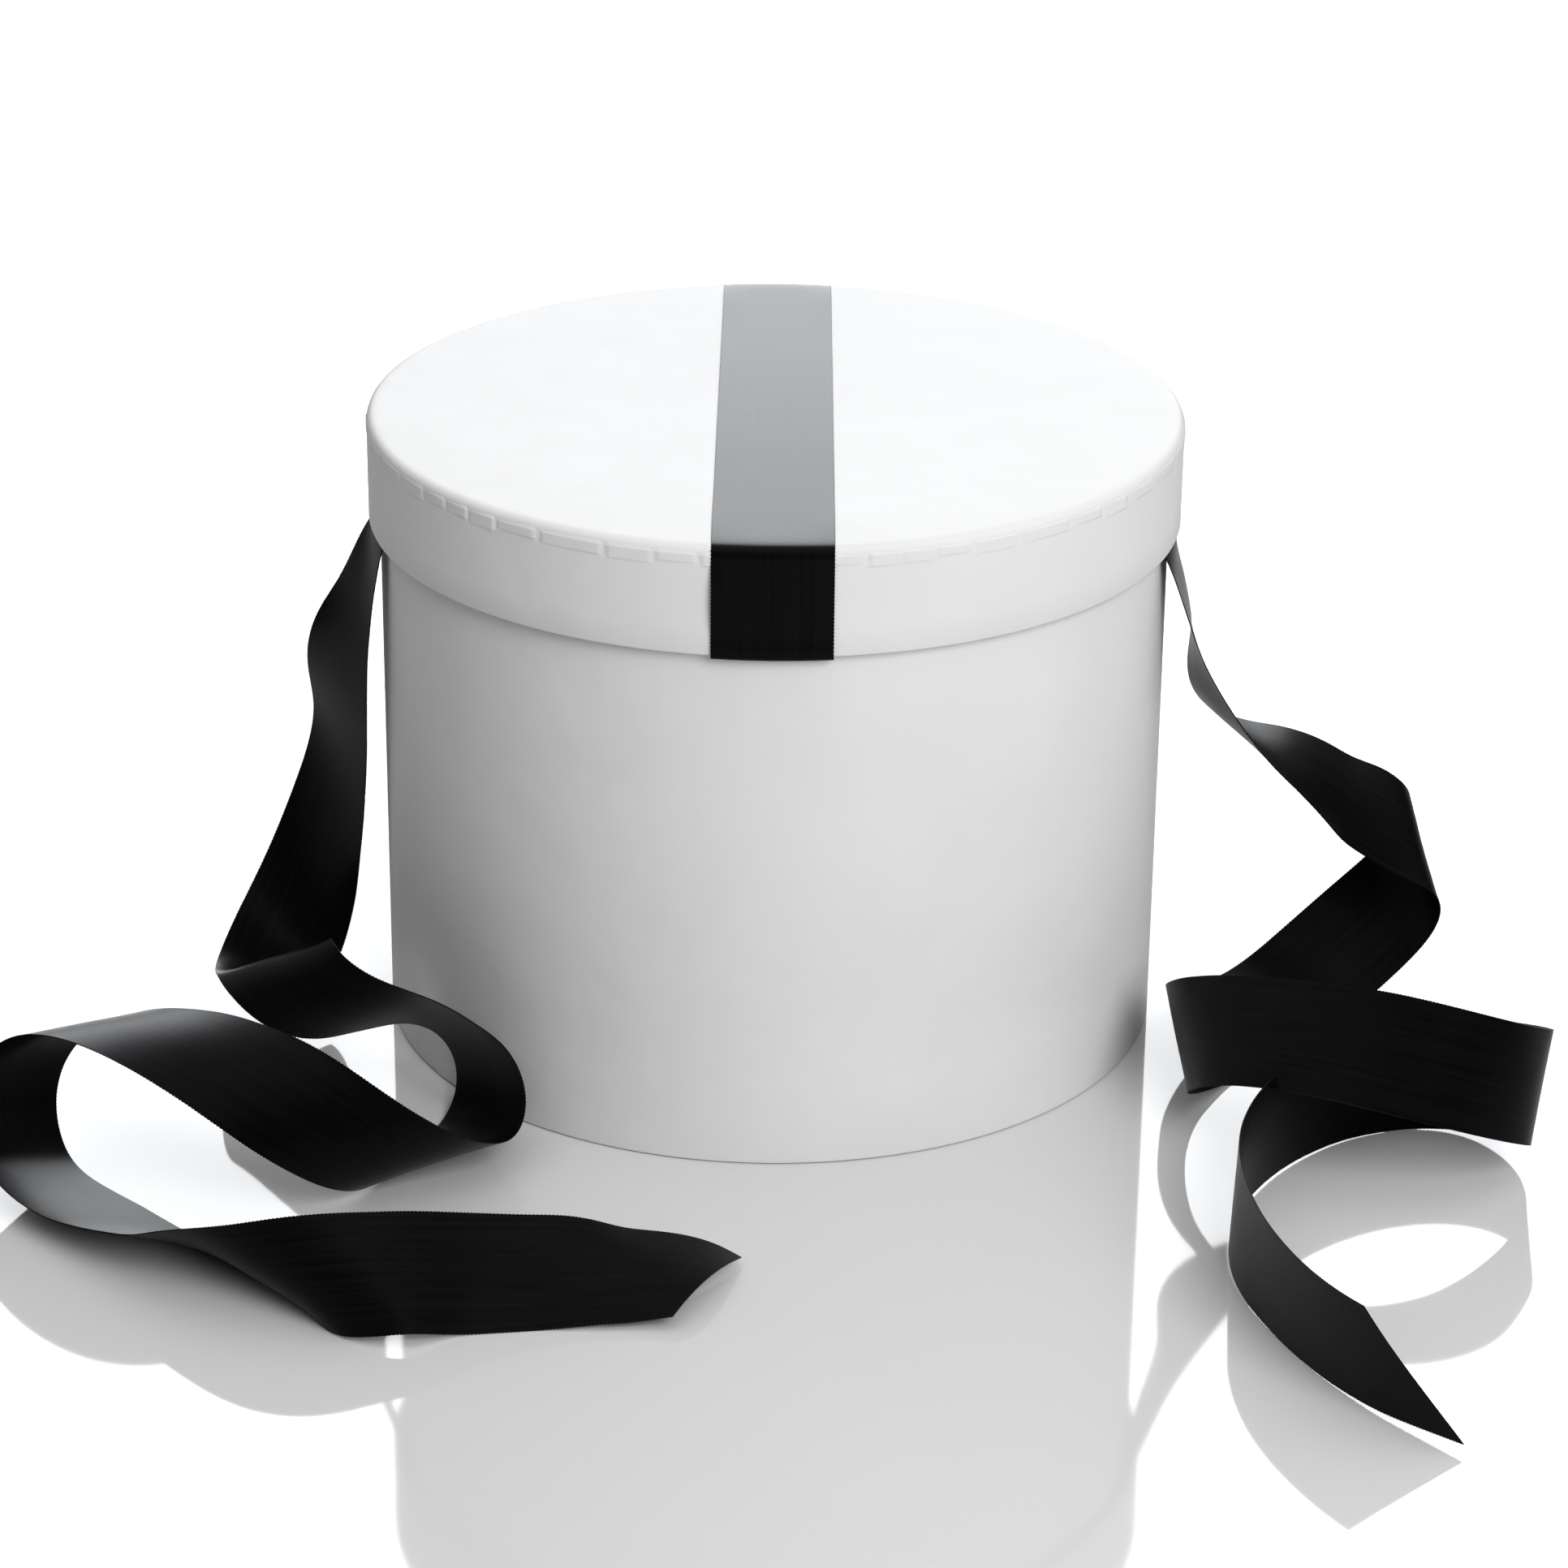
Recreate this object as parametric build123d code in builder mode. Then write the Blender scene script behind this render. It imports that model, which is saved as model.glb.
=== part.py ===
"""Round paper-covered hat box with a lift-off lid, a glued lid ribbon and two loose satin ties.

Frame: millimetres, +Z up, origin at the centre of the base's underside.
-Y is the front. The lid ribbon runs front to back, the ties leave the wall at -X and +X.
"""

from build123d import *
import math
import os

os.makedirs("parts", exist_ok=True)

# ---- driving dimensions ----
lid_radius = 136.0  # outside of the lid's rim, paper included
box_height = 215.0  # from the table to the top of the lid's paper
rim_height = 36.0  # depth of the lid's rim
body_radius = 132.0  # outside of the body wall, paper included
paper = 0.3  # covering and lining papers
wall_board = 2.0  # body tube, base disc and lid disc
rim_board = 1.5  # lid hoop
turn_in = 12.0  # how far a covering paper is turned over an edge

ribbon_width = 38.0
ribbon_thickness = 0.4
ribbon_hem = 10.0  # the lid ribbon's end, glued up inside the rim

tab_count = 54  # tabs of the lid's top paper, turned down over the hoop
tab_notch = 2.0  # gap between two tabs
tab_drop = 6.0

tie_centre_y = -19.0  # the ties leave the wall a little in front of the side
tie_slot_z = 191.0  # top face of the tie where it passes through the wall
tie_slot_height = 1.6
tie_slot_width = 41.0
tie_tail = 18.0  # end of the tie glued to the inside of the wall
patch_width = 50.0
patch_height = 30.0

# ---- levels and radii that follow ----
board_bottom = 2 * paper  # base cover, then the turned-under wrap, then the boards
base_top = board_bottom + wall_board
tube_outer = body_radius - paper
tube_inner = tube_outer - wall_board
lining_inner = tube_inner - paper
lid_board_top = box_height - paper
lid_board_bottom = lid_board_top - wall_board
lid_inside_top = lid_board_bottom - paper
body_top = lid_inside_top
tube_top = body_top - paper
hoop_outer = lid_radius - 2 * paper
hoop_inner = hoop_outer - rim_board
rim_inner = hoop_inner - paper
rim_bottom = box_height - rim_height
hoop_bottom = rim_bottom + paper
paper_gap = 0.4  # bare line between a turned-in paper and the lining
base_cover_margin = 4.0  # the base cover stops short of the wall
rim_wrap_margin = 1.0  # the rim wrap stops short of the lid's top
drop_clearance = 0.1  # between the wall and the tie's drop outside it
drop_overlap = 3.0  # how far the drop reaches down past the rim
fall_clearance = 1.6  # between the wall and the edges of the free length's flat start
fall_start_z = rim_bottom - 0.4  # the free length starts just under the rim
patch_above_slot = 4.0
cutter = 40.0  # depth of the blocks that cut or trim the wall's pieces

# ---- routes of the two ties ----
# Each station is one edge point and the opposite edge point of the flat ribbon.
left_route = [
    ((-137.5, 0, 175), (-130, -38, 177)),
    ((-141.5, 0, 167), (-131, -38, 168)),
    ((-147, -1, 148), (-133, -37, 147)),
    ((-157, 2, 103), (-136, -30, 97)),
    ((-168, 1, 65), (-141, -24, 58)),
    ((-180, -9, 40), (-147, -21, 29)),
    ((-187, -25, 31), (-154, -26, 12)),
    ((-189, -44, 28), (-151, -41, 22)),
    ((-184, -63, 33), (-148, -54, 37)),
    ((-175, -80, 29), (-145, -72, 46)),
    ((-159, -90, 24), (-143, -89, 56)),
    ((-140, -85, 24), (-132, -103, 55)),
    ((-121, -78, 25), (-114, -108, 48)),
    ((-106, -83, 15), (-97, -111, 38)),
    ((-106, -98, 3), (-82, -116, 26)),
    ((-113, -116, 1), (-80, -130, 13)),
    ((-120, -135, 1), (-88, -147, 16)),
    ((-133, -161, 4), (-106, -164, 32)),
    ((-152, -176, 21), (-129, -167, 49)),
    ((-174, -182, 40), (-154, -154, 57)),
    ((-199, -173, 53), (-181, -140, 57)),
    ((-225, -159, 57), (-206, -127, 48)),
    ((-249, -149, 44), (-228, -120, 30)),
    ((-255, -153, 26), (-230, -128, 12)),
    ((-247, -167, 15), (-222, -142, 2)),
    ((-228, -189, 10), (-201, -164, 1)),
    ((-199, -216, 15), (-174, -192, 1)),
    ((-165, -233, 27), (-146, -220, 1)),
    ((-126, -230, 32), (-118, -247, 2)),
    ((-98, -220, 30), (-93, -243, 1)),
    ((-71, -208, 23), (-64, -236, 1)),
    ((-45, -199, 12), (-37, -235, 1)),
    ((-8, -197, 2), (-28, -235, 1)),
]
right_route = [
    ((134.5, -1, 167), (133, -38.5, 170)),
    ((145, -5, 136), (142, -43, 139)),
    ((172, 0, 98), (170, -36, 98)),
    ((199, 9, 82), (190, -22, 68)),
    ((219, 18, 72), (212, -16, 53)),
    ((213, 13, 61), (236, -15, 42)),
    ((192, 6, 36), (218, -12, 14)),
    ((170, -2, 18), (196, -22, 1)),
    ((150, -26, 16), (169, -53, 1)),
    ((136, -58, 28), (147, -82, 6)),
    ((141, -89, 48), (140, -118, 23)),
    ((159, -107, 58), (152, -137, 33)),
    ((172, -119, 63), (167, -147, 36)),
    ((189, -131, 66), (183, -156, 37)),
    ((207, -143, 67), (201, -160, 34)),
    ((223, -143, 62), (217, -160, 28)),
    ((241, -135, 54), (237, -147, 18)),
    ((254, -122, 46), (247, -137, 11)),
    ((246, -103, 40), (242, -118, 5)),
    ((227, -98, 39), (228, -105, 1)),
    ((199, -105, 38), (200, -107, 1)),
    ((176, -123, 38), (176, -123, 1)),
    ((159, -147, 39), (158, -147, 1)),
    ((147, -184, 39), (146, -184, 1)),
    ((150, -233, 39), (153, -232, 1)),
    ((174, -286, 40), (204, -305, 3)),
]


def revolved(points):
    """Turn an outline of (radius, height) points around the box's axis."""
    with BuildSketch(Plane.XZ) as profile:
        with BuildLine():
            Polyline(points, close=True)
        make_face()
    revolve(profile.sketch, axis=Axis.Z)


def ring(inner, outer, bottom, top):
    """Outline of a plain ring."""
    return [(inner, bottom), (outer, bottom), (outer, top), (inner, top)]


def cut_tie_slots():
    """Cut the two slots that the ties pass through."""
    slot_centre_z = tie_slot_z - tie_slot_height / 2
    for side in (-1, 1):
        with Locations((side * body_radius, tie_centre_y, slot_centre_z)):
            Box(cutter, tie_slot_width, tie_slot_height, mode=Mode.SUBTRACT)


# ---- body: boards ----
with BuildPart() as body_tube:
    revolved(ring(tube_inner, tube_outer, board_bottom, tube_top))
    cut_tie_slots()

with BuildPart() as base_disc:
    with Locations((0, 0, board_bottom)):
        Cylinder(tube_inner, wall_board, align=(Align.CENTER, Align.CENTER, Align.MIN))

# ---- body: papers ----
with BuildPart() as body_wrap:
    revolved(
        [
            (tube_outer - turn_in, paper),
            (body_radius, paper),
            (body_radius, body_top),
            (lining_inner, body_top),
            (lining_inner, body_top - turn_in),
            (tube_inner, body_top - turn_in),
            (tube_inner, tube_top),
            (tube_outer, tube_top),
            (tube_outer, board_bottom),
            (tube_outer - turn_in, board_bottom),
        ]
    )
    cut_tie_slots()

with BuildPart() as base_cover:
    Cylinder(body_radius - base_cover_margin, paper, align=(Align.CENTER, Align.CENTER, Align.MIN))

with BuildPart() as body_lining:
    lining_top = body_top - turn_in - paper_gap
    revolved(ring(lining_inner, tube_inner, base_top + paper, lining_top))
    cut_tie_slots()

with BuildPart() as base_lining:
    with Locations((0, 0, base_top)):
        Cylinder(tube_inner, paper, align=(Align.CENTER, Align.CENTER, Align.MIN))

# ---- lid: boards ----
with BuildPart() as lid_disc:
    with Locations((0, 0, lid_board_bottom)):
        Cylinder(hoop_outer, wall_board, align=(Align.CENTER, Align.CENTER, Align.MIN))

with BuildPart() as lid_hoop:
    revolved(ring(hoop_inner, hoop_outer, hoop_bottom, lid_board_bottom))

# ---- lid: papers ----
with BuildPart() as lid_top_paper:
    tab_radius = hoop_outer + paper
    revolved(
        [
            (0, lid_board_top),
            (hoop_outer, lid_board_top),
            (hoop_outer, lid_board_top - tab_drop),
            (tab_radius, lid_board_top - tab_drop),
            (tab_radius, box_height),
            (0, box_height),
        ]
    )
    notch_top = lid_board_top - wall_board / 2
    with Locations((0, 0, notch_top)):
        with PolarLocations(tab_radius, tab_count):
            Box(
                cutter,
                tab_notch,
                2 * tab_drop,
                align=(Align.CENTER, Align.CENTER, Align.MAX),
                mode=Mode.SUBTRACT,
            )

with BuildPart() as lid_rim_wrap:
    wrap_top = box_height - rim_wrap_margin
    revolved(
        [
            (lid_radius - paper, wrap_top),
            (lid_radius - paper, hoop_bottom),
            (hoop_inner, hoop_bottom),
            (hoop_inner, rim_bottom + turn_in),
            (rim_inner, rim_bottom + turn_in),
            (rim_inner, rim_bottom),
            (lid_radius, rim_bottom),
            (lid_radius, wrap_top),
        ]
    )

with BuildPart() as lid_hoop_lining:
    revolved(ring(rim_inner, hoop_inner, rim_bottom + turn_in + paper_gap, lid_inside_top))

with BuildPart() as lid_lining:
    with Locations((0, 0, lid_inside_top)):
        Cylinder(hoop_inner, paper, align=(Align.CENTER, Align.CENTER, Align.MIN))

# ---- ribbon glued across the lid, its ends turned up inside the rim ----
with BuildPart() as lid_ribbon:
    ribbon_outer = lid_radius + ribbon_thickness
    hem_inner = rim_inner - ribbon_thickness
    revolved(
        [
            (0, box_height),
            (lid_radius, box_height),
            (lid_radius, rim_bottom),
            (rim_inner, rim_bottom),
            (rim_inner, rim_bottom + ribbon_hem),
            (hem_inner, rim_bottom + ribbon_hem),
            (hem_inner, rim_bottom - ribbon_thickness),
            (ribbon_outer, rim_bottom - ribbon_thickness),
            (ribbon_outer, box_height + ribbon_thickness),
            (0, box_height + ribbon_thickness),
        ]
    )
    with Locations((0, 0, box_height)):
        Box(ribbon_width, 3 * lid_radius, 4 * rim_height, mode=Mode.INTERSECT)


# ---- ties ----
def strip(stations, thickness):
    """Closed flat-faced strip of even thickness through pairs of edge points."""
    middles = [(a + b) * 0.5 for a, b in stations]
    last = len(stations) - 1
    corners = []
    for index, (edge_a, edge_b) in enumerate(stations):
        travel = middles[min(index + 1, last)] - middles[max(index - 1, 0)]
        lift = (edge_b - edge_a).cross(travel).normalized() * (thickness / 2)
        corners.append((edge_a + lift, edge_b + lift, edge_b - lift, edge_a - lift))
    triangles = []
    underside = 2
    for near, far in zip(corners, corners[1:]):
        for side in range(4):
            after = (side + 1) % 4
            if side == underside:  # folds along the same diagonal as the upper side
                triangles.append((near[side], near[after], far[side]))
                triangles.append((near[after], far[after], far[side]))
            else:
                triangles.append((near[side], near[after], far[after]))
                triangles.append((near[side], far[after], far[side]))
    for end in (corners[0][::-1], corners[last]):
        triangles.append((end[0], end[1], end[2]))
        triangles.append((end[0], end[2], end[3]))
    faces = [Face(Wire.make_polygon(points, close=True)) for points in triangles]
    return Solid(Shell(faces))


def tie_anchor(side):
    """Glued tail inside the wall, the pass through the slot and the drop outside it."""
    tail_outer = lining_inner
    tail_inner = tail_outer - ribbon_thickness
    drop_inner = body_radius + drop_clearance
    drop_outer = drop_inner + ribbon_thickness
    pass_bottom = tie_slot_z - ribbon_thickness
    drop_bottom = rim_bottom - drop_overlap
    revolved(
        [
            (tail_inner, tie_slot_z - tie_tail),
            (tail_outer, tie_slot_z - tie_tail),
            (tail_outer, pass_bottom),
            (drop_inner, pass_bottom),
            (drop_inner, drop_bottom),
            (drop_outer, drop_bottom),
            (drop_outer, tie_slot_z),
            (tail_inner, tie_slot_z),
        ]
    )
    with Locations((side * body_radius, tie_centre_y, tie_slot_z)):
        Box(cutter, ribbon_width, 4 * tie_tail, mode=Mode.INTERSECT)


def tie_fall(side, route):
    """The free length, from its start just under the rim to its cut end."""
    start_radius = body_radius + fall_clearance
    start = []
    for start_y in (tie_centre_y + ribbon_width / 2, tie_centre_y - ribbon_width / 2):
        start_x = side * math.sqrt(start_radius**2 - start_y**2)
        start.append(Vector(start_x, start_y, fall_start_z))
    stations = [tuple(start)] + [(Vector(*a), Vector(*b)) for a, b in route]
    add(strip(stations, ribbon_thickness))


def tie_patch(side):
    """Paper patch glued over the tie's tail inside the wall."""
    patch_outer = lining_inner - ribbon_thickness
    patch_top = tie_slot_z + patch_above_slot
    revolved(ring(patch_outer - paper, patch_outer, patch_top - patch_height, patch_top))
    with Locations((side * body_radius, tie_centre_y, patch_top)):
        Box(cutter, patch_width, 3 * patch_height, mode=Mode.INTERSECT)


with BuildPart() as left_tie_ribbon:
    tie_anchor(-1)
    tie_fall(-1, left_route)

with BuildPart() as right_tie_ribbon:
    tie_anchor(1)
    tie_fall(1, right_route)

with BuildPart() as left_tie_patch:
    tie_patch(-1)

with BuildPart() as right_tie_patch:
    tie_patch(1)

# ---- export ----
pieces = {
    "body_tube": body_tube,
    "base_disc": base_disc,
    "body_wrap": body_wrap,
    "base_cover": base_cover,
    "body_lining": body_lining,
    "base_lining": base_lining,
    "lid_disc": lid_disc,
    "lid_hoop": lid_hoop,
    "lid_top_paper": lid_top_paper,
    "lid_rim_wrap": lid_rim_wrap,
    "lid_hoop_lining": lid_hoop_lining,
    "lid_lining": lid_lining,
    "lid_ribbon": lid_ribbon,
    "left_tie_ribbon": left_tie_ribbon,
    "right_tie_ribbon": right_tie_ribbon,
    "left_tie_patch": left_tie_patch,
    "right_tie_patch": right_tie_patch,
}
for name, piece in pieces.items():
    piece.part.label = name
    export_step(piece.part, f"parts/{name}.step")
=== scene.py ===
"""Looks of the round paper-covered hat box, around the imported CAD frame.

Lengths in this script are millimetres in the CAD's frame, and MM turns them into metres.
"""

import math

import bpy
import numpy as np
from mathutils import Matrix, Vector


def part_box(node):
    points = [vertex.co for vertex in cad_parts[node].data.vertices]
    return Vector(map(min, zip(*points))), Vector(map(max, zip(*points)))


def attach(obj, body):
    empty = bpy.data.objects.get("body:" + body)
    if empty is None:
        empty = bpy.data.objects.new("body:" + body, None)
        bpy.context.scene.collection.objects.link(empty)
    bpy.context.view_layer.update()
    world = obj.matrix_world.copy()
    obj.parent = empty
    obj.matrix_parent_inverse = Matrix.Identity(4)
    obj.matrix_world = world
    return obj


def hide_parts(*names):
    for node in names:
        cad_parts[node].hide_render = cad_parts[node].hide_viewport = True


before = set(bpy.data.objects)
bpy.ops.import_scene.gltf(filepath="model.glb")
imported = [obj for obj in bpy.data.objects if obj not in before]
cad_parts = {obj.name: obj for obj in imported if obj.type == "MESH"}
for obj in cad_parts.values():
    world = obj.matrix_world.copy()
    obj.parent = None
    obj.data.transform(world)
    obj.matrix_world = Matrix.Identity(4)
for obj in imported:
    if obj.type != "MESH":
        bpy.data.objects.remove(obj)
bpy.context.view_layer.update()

MM = 0.001

# ---- sizes, from the CAD ----
BODY_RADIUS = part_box("body_wrap")[1][0] / MM
BODY_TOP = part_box("body_wrap")[1][2] / MM
LID_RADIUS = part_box("lid_rim_wrap")[1][0] / MM
RIM_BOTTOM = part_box("lid_rim_wrap")[0][2] / MM
LID_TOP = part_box("lid_top_paper")[1][2] / MM
HOOP_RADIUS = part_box("lid_hoop")[1][0] / MM
PAPER = 0.3
WALL_BOARD = 2.0
RIM_BOARD = 1.5
TURN_IN = 12.0
WALL_INSIDE = BODY_RADIUS - WALL_BOARD - 2 * PAPER
RIM_INSIDE = HOOP_RADIUS - RIM_BOARD - PAPER

RIBBON_WIDTH = 38.0
RIBBON_THICKNESS = 0.4
RIBBON_HEM = 10.0
TIE_CENTRE_Y = -19.0
TIE_SLOT_Z = 191.0
TIE_SLOT_HEIGHT = 1.6
TIE_SLOT_WIDTH = 41.0
TIE_TAIL = 18.0

SEGMENTS = 1080  # faces around each turned piece

# ---- routes of the ties: one edge point, then the opposite one ----
# Not all chosen by hand: 27 of the left tie's stations and 7 of the right one's are rows of a
# strip that a fitting program worked out, thinned and rounded to a millimetre.
LEFT_ROUTE = [
    ((-137.5, 0, 175), (-130, -38, 177)),
    ((-141.5, 0, 167), (-131, -38, 168)),
    ((-147, -1, 148), (-133, -37, 147)),
    ((-157, 2, 103), (-136, -30, 97)),
    ((-168, 1, 65), (-141, -24, 58)),
    ((-180, -9, 40), (-147, -21, 29)),
    ((-187, -25, 31), (-154, -26, 12)),
    ((-189, -44, 28), (-151, -41, 22)),
    ((-184, -63, 33), (-148, -54, 37)),
    ((-175, -80, 29), (-145, -72, 46)),
    ((-159, -90, 24), (-143, -89, 56)),
    ((-140, -85, 24), (-132, -103, 55)),
    ((-121, -78, 25), (-114, -108, 48)),
    ((-106, -83, 15), (-97, -111, 38)),
    ((-106, -98, 3), (-82, -116, 26)),
    ((-113, -116, 1), (-80, -130, 13)),
    ((-120, -135, 1), (-88, -147, 16)),
    ((-133, -161, 4), (-106, -164, 32)),
    ((-152, -176, 21), (-129, -167, 49)),
    ((-174, -182, 40), (-154, -154, 57)),
    ((-199, -173, 53), (-181, -140, 57)),
    ((-225, -159, 57), (-206, -127, 48)),
    ((-249, -149, 44), (-228, -120, 30)),
    ((-255, -153, 26), (-230, -128, 12)),
    ((-247, -167, 15), (-222, -142, 2)),
    ((-228, -189, 10), (-201, -164, 1)),
    ((-199, -216, 15), (-174, -192, 1)),
    ((-165, -233, 27), (-146, -220, 1)),
    ((-126, -230, 32), (-118, -247, 2)),
    ((-98, -220, 30), (-93, -243, 1)),
    ((-71, -208, 23), (-64, -236, 1)),
    ((-45, -199, 12), (-37, -235, 1)),
    ((-8, -197, 2), (1, -234, 1)),
]
RIGHT_ROUTE = [
    ((134.5, -1, 167), (133, -38.5, 170)),
    ((145, -5, 136), (142, -43, 139)),
    ((172, 0, 98), (170, -36, 98)),
    ((199, 9, 82), (190, -22, 68)),
    ((219, 18, 72), (212, -16, 53)),
    ((213, 13, 61), (236, -15, 42)),
    ((192, 6, 36), (218, -12, 14)),
    ((170, -2, 18), (196, -22, 1)),
    ((150, -26, 16), (169, -53, 1)),
    ((136, -58, 28), (147, -82, 6)),
    ((141, -89, 48), (140, -118, 23)),
    ((159, -107, 58), (152, -137, 33)),
    ((172, -119, 63), (167, -147, 36)),
    ((189, -131, 66), (183, -156, 37)),
    ((207, -143, 67), (201, -160, 34)),
    ((223, -143, 62), (217, -160, 28)),
    ((241, -135, 54), (237, -147, 18)),
    ((254, -122, 46), (247, -137, 11)),
    ((246, -103, 40), (242, -118, 5)),
    ((227, -98, 39), (228, -105, 1)),
    ((199, -105, 38), (200, -107, 1)),
    ((176, -123, 38), (176, -123, 1)),
    ((159, -147, 39), (158, -147, 1)),
    ((147, -184, 39), (146, -184, 1)),
    ((150, -233, 39), (153, -232, 1)),
    ((174, -286, 40), (181, -284, 3)),
    ((196, -308, 40), (204, -305, 3)),
]
LEFT_CUT = (0.0, 29.0)  # how much the slanted cut takes off each edge of the last run
RIGHT_CUT = (31.0, 0.0)


# ---- camera ----
def make_camera():
    """Camera about six box-widths away, looking down at the front."""
    place = Vector((4.08, -1475.0, 720.5)) * MM
    target = Vector((4.08, 0.0, 77.5)) * MM
    roll = math.radians(0.59)
    forward = (target - place).normalized()
    level = Vector((1, 0, 0))
    upright = level.cross(forward)
    right = level * math.cos(roll) + upright * math.sin(roll)
    up = upright * math.cos(roll) - level * math.sin(roll)
    data = bpy.data.cameras.new("camera")
    data.sensor_width = 36.0
    data.lens = 107.3
    camera = bpy.data.objects.new("camera", data)
    bpy.context.scene.collection.objects.link(camera)
    turn = Matrix((right, up, -forward)).transposed().to_4x4()
    camera.matrix_world = Matrix.Translation(place) @ turn
    bpy.context.scene.camera = camera


make_camera()


# ---- materials ----
def new_material(name, roughness, specular=0.5):
    """Node material with its Principled shader and an object-space coordinate source."""
    material = bpy.data.materials.new(name)
    material.use_nodes = True
    nodes = material.node_tree.nodes
    shader = nodes["Principled BSDF"]
    shader.inputs["Roughness"].default_value = roughness
    shader.inputs["Specular IOR Level"].default_value = specular
    place = nodes.new("ShaderNodeTexCoord")
    return material, shader, place


def noise(material, source, scale, detail=3.0, stretch=(1, 1, 1)):
    """Noise texture on stretched coordinates."""
    nodes = material.node_tree.nodes
    links = material.node_tree.links
    mapping = nodes.new("ShaderNodeMapping")
    mapping.inputs["Scale"].default_value = stretch
    texture = nodes.new("ShaderNodeTexNoise")
    texture.inputs["Scale"].default_value = scale
    texture.inputs["Detail"].default_value = detail
    links.new(source, mapping.inputs["Vector"])
    links.new(mapping.outputs["Vector"], texture.inputs["Vector"])
    return texture.outputs["Fac"]


def ramp(material, value, stops):
    """Colour ramp from (position, (r, g, b)) stops."""
    node = material.node_tree.nodes.new("ShaderNodeValToRGB")
    elements = node.color_ramp.elements
    while len(elements) < len(stops):
        elements.new(0.5)
    for element, (position, colour) in zip(elements, stops):
        element.position = position
        element.color = (*colour, 1)
    material.node_tree.links.new(value, node.inputs["Fac"])
    return node.outputs["Color"]


def add_bump(material, shader, heights):
    """Chain of bumps from (height, depth in metres) pairs."""
    nodes = material.node_tree.nodes
    links = material.node_tree.links
    previous = None
    for height, depth in heights:
        bump = nodes.new("ShaderNodeBump")
        bump.inputs["Strength"].default_value = 1.0
        bump.inputs["Distance"].default_value = depth
        links.new(height, bump.inputs["Height"])
        if previous is not None:
            links.new(previous.outputs["Normal"], bump.inputs["Normal"])
        previous = bump
    links.new(previous.outputs["Normal"], shader.inputs["Normal"])


def paper_material(name, pale, shade, roughness):
    """Matt paper: faint clouding, fine fibres and a very slight cockle from the paste."""
    material, shader, place = new_material(name, roughness, specular=0.08)
    links = material.node_tree.links
    source = place.outputs["Object"]
    cloud = noise(material, source, 28.0, detail=4.0)
    links.new(ramp(material, cloud, [(0.35, shade), (0.65, pale)]), shader.inputs["Base Color"])
    fibres = noise(material, source, 1700.0, detail=2.0)
    cockle = noise(material, source, 55.0, detail=1.0)
    add_bump(material, shader, [(cockle, 0.00035), (fibres, 0.00002)])
    return material


def board_material():
    """Grey recycled board with dark and pale flecks."""
    material, shader, place = new_material("grey_board", 0.85, specular=0.3)
    links = material.node_tree.links
    flecks = noise(material, place.outputs["Object"], 900.0, detail=4.0)
    colours = [(0.38, (0.20, 0.18, 0.15)), (0.5, (0.36, 0.33, 0.29)), (0.64, (0.47, 0.44, 0.39))]
    links.new(ramp(material, flecks, colours), shader.inputs["Base Color"])
    add_bump(material, shader, [(flecks, 0.00008)])
    return material


def satin_material():
    """Black warp-faced satin: fine lengthwise floats, crossed by a faint filling rib."""
    material, shader, place = new_material("black_satin", 0.3, specular=0.055)
    nodes = material.node_tree.nodes
    links = material.node_tree.links
    shader.inputs["Anisotropic"].default_value = 0.55
    shader.inputs["Specular Tint"].default_value = (0.90, 0.93, 1.0, 1)
    source = place.outputs["UV"]
    floats = noise(material, source, 1.0, detail=2.0, stretch=(5200.0, 260.0, 1.0))
    streaks = noise(material, source, 1.0, detail=3.0, stretch=(700.0, 18.0, 1.0))
    grain = noise(material, source, 1.0, detail=1.0, stretch=(3200.0, 3200.0, 1.0))
    colours = [(0.3, (0.0022, 0.0020, 0.0023)), (0.7, (0.0042, 0.0040, 0.0045))]
    links.new(ramp(material, streaks, colours), shader.inputs["Base Color"])
    add_bump(material, shader, [(streaks, 0.00003), (floats, 0.000035), (grain, 0.00002)])
    tangent = nodes.new("ShaderNodeTangent")
    tangent.direction_type = "UV_MAP"
    tangent.uv_map = "UVMap"
    links.new(tangent.outputs["Tangent"], shader.inputs["Tangent"])
    return material


def floor_material():
    """White satin-finish table top."""
    material, shader, place = new_material("floor_white", 0.05, specular=0.5)
    links = material.node_tree.links
    cloud = noise(material, place.outputs["Object"], 3.0)
    colours = [(0.3, (0.66, 0.66, 0.66)), (0.7, (0.68, 0.68, 0.675))]
    links.new(ramp(material, cloud, colours), shader.inputs["Base Color"])
    return material


WHITE_PAPER = paper_material("white_paper", (0.81, 0.81, 0.807), (0.79, 0.79, 0.785), 0.5)
LINING_PAPER = paper_material("lining_paper", (0.80, 0.79, 0.765), (0.77, 0.76, 0.735), 0.7)
GREY_BOARD = board_material()
BLACK_SATIN = satin_material()


# ---- mesh helpers ----
def make_object(name, vertices, faces, material, uvs=None):
    """Mesh object from millimetre points, with one UV per point if given."""
    mesh = bpy.data.meshes.new(name)
    mesh.from_pydata((np.asarray(vertices) * MM).tolist(), [], faces)
    mesh.materials.append(material)
    mesh.polygons.foreach_set("use_smooth", [True] * len(mesh.polygons))
    if uvs is not None:
        layer = mesh.uv_layers.new(name="UVMap")
        corners = np.empty(len(mesh.loops), dtype=int)
        mesh.loops.foreach_get("vertex_index", corners)
        layer.data.foreach_set("uv", (np.asarray(uvs) * MM)[corners].ravel())
    mesh.set_sharp_from_angle(angle=math.radians(35))
    piece = bpy.data.objects.new(name, mesh)
    bpy.context.scene.collection.objects.link(piece)
    return piece


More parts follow.
